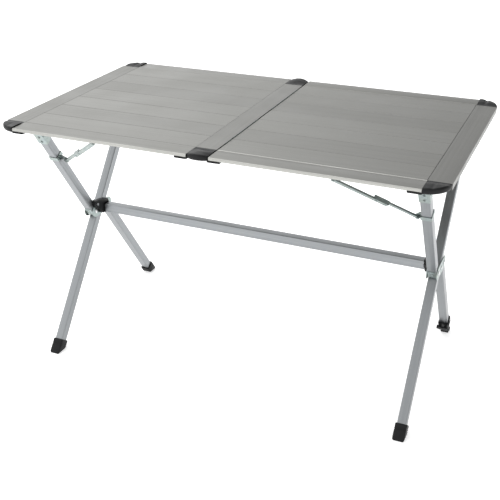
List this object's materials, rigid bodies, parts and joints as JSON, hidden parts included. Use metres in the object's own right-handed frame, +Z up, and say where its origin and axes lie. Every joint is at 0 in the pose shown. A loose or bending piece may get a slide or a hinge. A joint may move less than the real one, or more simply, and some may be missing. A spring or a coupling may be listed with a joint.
{
  "type": "folding camp kitchen table",
  "caption": "Folding camp table with a slatted aluminium top in two halves on two crossed leg frames, a crossbar, knee stays and one levelling foot.",
  "frame": {"origin": "on the floor under the middle of the top", "axes": "+X along the table, +Y from the stays' side to the back, +Z up"},
  "size_m": [1.16, 0.704, 0.705],
  "materials": {
    "top_aluminium": "fine brushed, grey-beige anodised",
    "leg_aluminium": "satin anodised, drawn along the tube",
    "black_plastic": "satin moulded",
    "zinc_steel": "zinc plated",
    "bright_steel": "turned rivet heads"
  },
  "bodies": {
    "frame": {"through_leg_left": "leg_aluminium", "through_leg_right": "leg_aluminium", "leg_heads_through": "zinc_steel", "crossbar": "leg_aluminium", "crossbar_plugs": "black_plastic", "hub_plates": "zinc_steel", "hub_block_left": "black_plastic", "hub_block_right": "black_plastic", "hub_pins": "bright_steel", "boots_front": "black_plastic"},
    "top_left_half": {"rail_left": "top_aluminium", "rail_center": "top_aluminium", "cap_front_left": "black_plastic", "cap_front_center": "black_plastic", "cap_back_left": "black_plastic", "cap_back_center": "black_plastic", "edge_front_left": "top_aluminium", "edge_back_left": "top_aluminium", "slat_left_1": "top_aluminium", "slat_left_2": "top_aluminium", "slat_left_3": "top_aluminium", "slat_left_4": "top_aluminium", "slat_left_5": "top_aluminium", "slat_left_6": "top_aluminium", "slat_left_7": "top_aluminium", "fold_hinge_pin": "bright_steel", "leg_socket_left": "zinc_steel", "stay_anchor_left": "zinc_steel"},
    "top_right_half": {"rail_right": "top_aluminium", "cap_front_right": "black_plastic", "cap_back_right": "black_plastic", "edge_front_right": "top_aluminium", "edge_back_right": "top_aluminium", "slat_right_1": "top_aluminium", "slat_right_2": "top_aluminium", "slat_right_3": "top_aluminium", "slat_right_4": "top_aluminium", "slat_right_5": "top_aluminium", "slat_right_6": "top_aluminium", "slat_right_7": "top_aluminium", "fold_hinge_leaf": "bright_steel", "leg_socket_right": "zinc_steel", "stay_anchor_right": "zinc_steel"},
    "front_leg_left": {"front_upper_leg_left": "leg_aluminium", "leg_head_left": "zinc_steel", "leg_clip_left": "zinc_steel"},
    "front_leg_right": {"front_upper_leg_right": "leg_aluminium", "leg_head_right": "zinc_steel", "leg_clip_right": "zinc_steel"},
    "rear_leg_left": {"rear_lower_leg_left": "leg_aluminium", "boot_rear_left": "black_plastic"},
    "rear_leg_right": {"rear_lower_leg_right": "leg_aluminium", "level_collar": "black_plastic", "level_bolt": "black_plastic"},
    "foot_slide": {"level_foot": "black_plastic"},
    "clamp_lever": {"level_lever": "black_plastic"},
    "upper_stay_left": {"stay_upper_left": "zinc_steel"},
    "lower_stay_left": {"stay_lower_left": "zinc_steel"},
    "upper_stay_right": {"stay_upper_right": "zinc_steel"},
    "lower_stay_right": {"stay_lower_right": "zinc_steel"}
  },
  "joints": [
    {"name": "top_lift", "type": "slide", "parent": "frame", "child": "top_left_half", "axis": [0, 0, 1], "range_m": [0, 0.33]},
    {"name": "top_fold", "type": "hinge", "parent": "top_left_half", "child": "top_right_half", "pos_m": [0.0252, 0, 0.7006], "axis": [0, -1, 0], "range_deg": [0, 170]},
    {"name": "front_leg_fold_left", "type": "hinge", "parent": "frame", "child": "front_leg_left", "pos_m": [-0.514, -0.0485, 0.352], "axis": [-1, 0, 0], "range_deg": [0, 68.1]},
    {"name": "front_leg_fold_right", "type": "hinge", "parent": "frame", "child": "front_leg_right", "pos_m": [0.514, -0.0485, 0.352], "axis": [-1, 0, 0], "range_deg": [0, 68.1]},
    {"name": "rear_leg_fold_left", "type": "hinge", "parent": "frame", "child": "rear_leg_left", "pos_m": [-0.514, 0.0185, 0.352], "axis": [-1, 0, 0], "range_deg": [0, 68.1]},
    {"name": "rear_leg_fold_right", "type": "hinge", "parent": "frame", "child": "rear_leg_right", "pos_m": [0.514, 0.0185, 0.352], "axis": [-1, 0, 0], "range_deg": [0, 68.1]},
    {"name": "stay_swing_left", "type": "hinge", "parent": "top_left_half", "child": "upper_stay_left", "pos_m": [-0.316, -0.29597, 0.67797], "axis": [0, 0.7071, 0.7071], "range_deg": [0, 40.1]},
    {"name": "stay_knee_left", "type": "hinge", "parent": "upper_stay_left", "child": "lower_stay_left", "pos_m": [-0.4025, -0.23798, 0.61998], "axis": [0, -0.7071, -0.7071], "range_deg": [0, 168.1]},
    {"name": "stay_swing_right", "type": "hinge", "parent": "top_right_half", "child": "upper_stay_right", "pos_m": [0.316, -0.29597, 0.67797], "axis": [0, -0.7071, -0.7071], "range_deg": [0, 40.1]},
    {"name": "stay_knee_right", "type": "hinge", "parent": "upper_stay_right", "child": "lower_stay_right", "pos_m": [0.4025, -0.23798, 0.61998], "axis": [0, 0.7071, 0.7071], "range_deg": [0, 168.1]},
    {"name": "foot_level", "type": "slide", "parent": "rear_leg_right", "child": "foot_slide", "axis": [0, 0.5667, -0.8239], "range_m": [0, 0.03]},
    {"name": "clamp_lever_turn", "type": "hinge", "parent": "rear_leg_right", "child": "clamp_lever", "pos_m": [0.5315, 0.20734, 0.03862], "axis": [0, 0.8239, 0.5667], "range_deg": [0, 95]}
  ],
  "couplings": [
    {"joint": "front_leg_fold_left", "follows": "top_lift", "rad_per_m": 3.5964},
    {"joint": "front_leg_fold_right", "follows": "top_lift", "rad_per_m": 3.5964},
    {"joint": "rear_leg_fold_left", "follows": "top_lift", "rad_per_m": 3.5964},
    {"joint": "rear_leg_fold_right", "follows": "top_lift", "rad_per_m": 3.5964},
    {"joint": "stay_swing_left", "follows": "top_lift", "rad_per_m": 2.1155},
    {"joint": "stay_knee_left", "follows": "top_lift", "rad_per_m": 8.8853},
    {"joint": "stay_swing_right", "follows": "top_lift", "rad_per_m": 2.1155},
    {"joint": "stay_knee_right", "follows": "top_lift", "rad_per_m": 8.8853}
  ]
}
